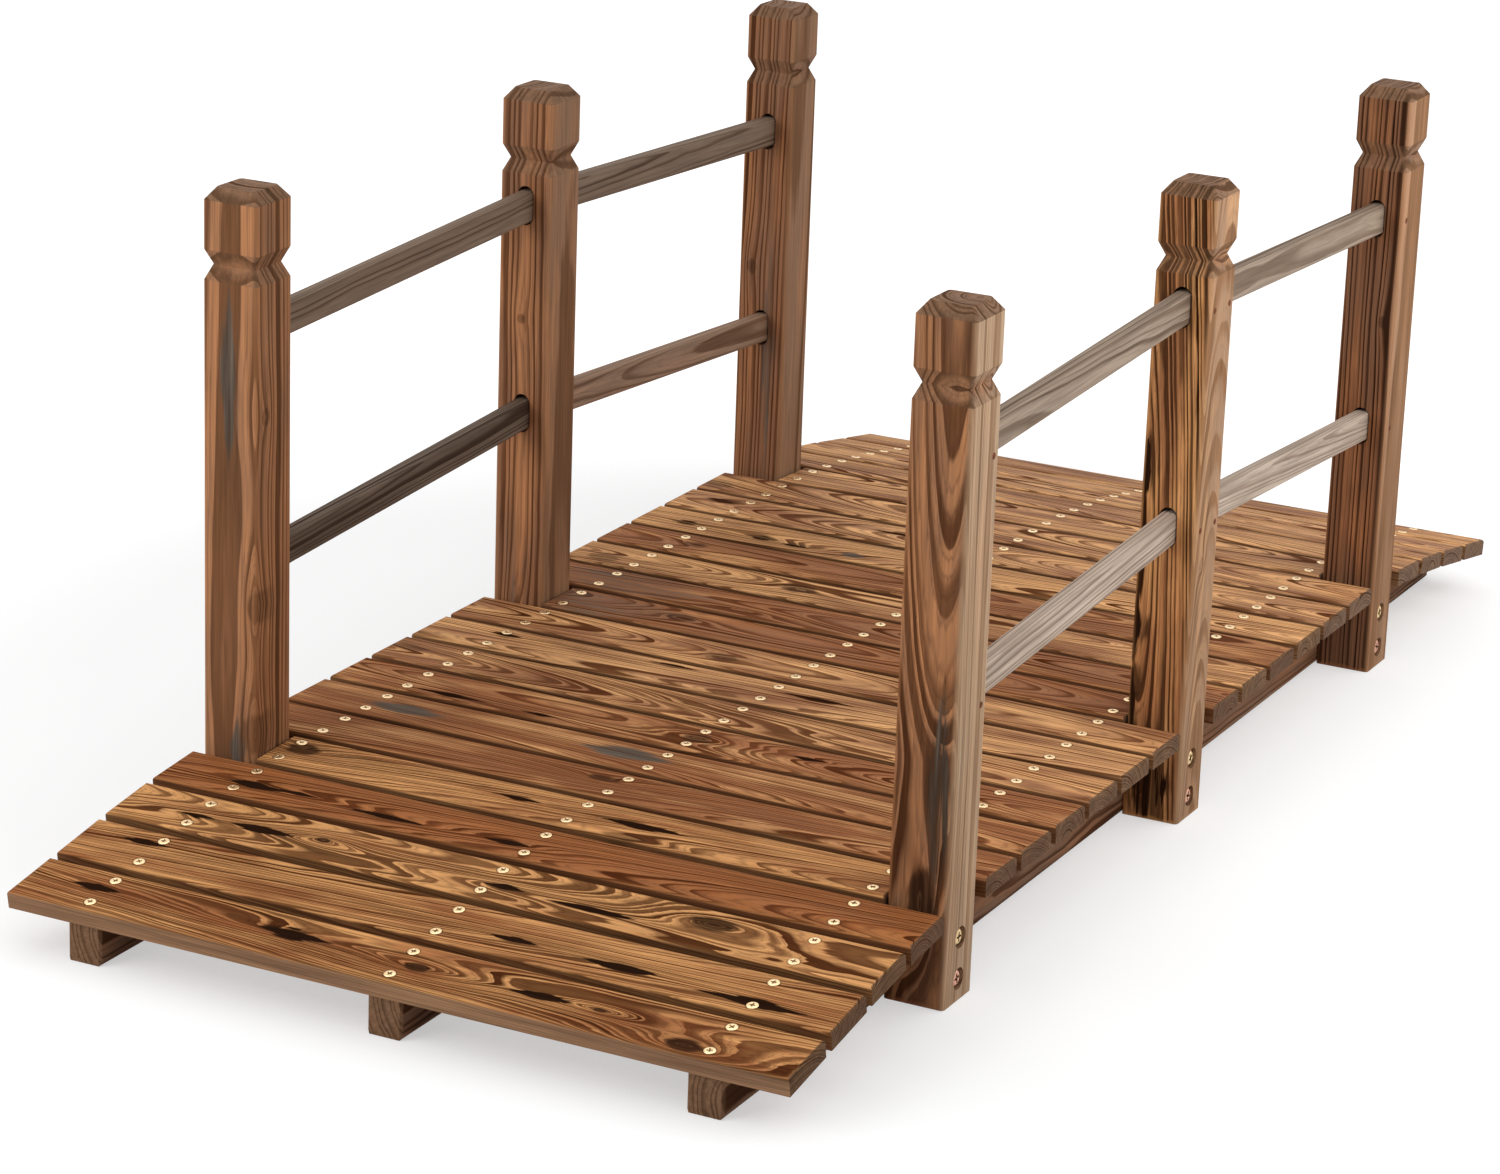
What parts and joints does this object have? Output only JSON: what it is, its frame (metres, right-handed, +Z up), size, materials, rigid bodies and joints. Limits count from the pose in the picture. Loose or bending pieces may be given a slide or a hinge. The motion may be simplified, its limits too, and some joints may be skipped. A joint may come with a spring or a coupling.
{
  "type": "garden bridge",
  "caption": "Small wooden garden bridge: a boarded deck on three stringers that bends down at both ends, with capped posts and slanting rails along both sides.",
  "frame": {"origin": "on the ground under the middle of the deck", "axes": "+X along the walk, +Y towards the left railing seen when walking along +X, +Z up"},
  "size_m": [1.5186, 0.673, 0.5485],
  "materials": {
    "deck_wood": "torched and stained",
    "stringer_wood": "torched and stained",
    "post_wood": "torched and stained",
    "rail_wood": "torched and stained",
    "screw_brass": "yellow zinc plated"
  },
  "bodies": {
    "root": {"deck_board_01": "deck_wood", "deck_board_02": "deck_wood", "deck_board_03": "deck_wood", "deck_board_04": "deck_wood", "deck_board_05": "deck_wood", "deck_board_06": "deck_wood", "deck_board_07": "deck_wood", "deck_board_08": "deck_wood", "deck_board_09": "deck_wood", "deck_board_10": "deck_wood", "deck_board_11": "deck_wood", "deck_board_12": "deck_wood", "deck_board_13": "deck_wood", "deck_board_14": "deck_wood", "deck_board_15": "deck_wood", "deck_board_16": "deck_wood", "deck_board_17": "deck_wood", "deck_board_18": "deck_wood", "deck_board_19": "deck_wood", "deck_board_20": "deck_wood", "deck_board_21": "deck_wood", "deck_board_22": "deck_wood", "deck_board_23": "deck_wood", "stringer_left": "stringer_wood", "stringer_middle": "stringer_wood", "stringer_right": "stringer_wood", "post_left_near": "post_wood", "post_left_middle": "post_wood", "post_left_far": "post_wood", "post_right_near": "post_wood", "post_right_middle": "post_wood", "post_right_far": "post_wood", "rail_upper_left_near": "rail_wood", "rail_upper_left_far": "rail_wood", "rail_upper_right_near": "rail_wood", "rail_upper_right_far": "rail_wood", "rail_lower_left_near": "rail_wood", "rail_lower_left_far": "rail_wood", "rail_lower_right_near": "rail_wood", "rail_lower_right_far": "rail_wood"}
  },
  "joints": []
}
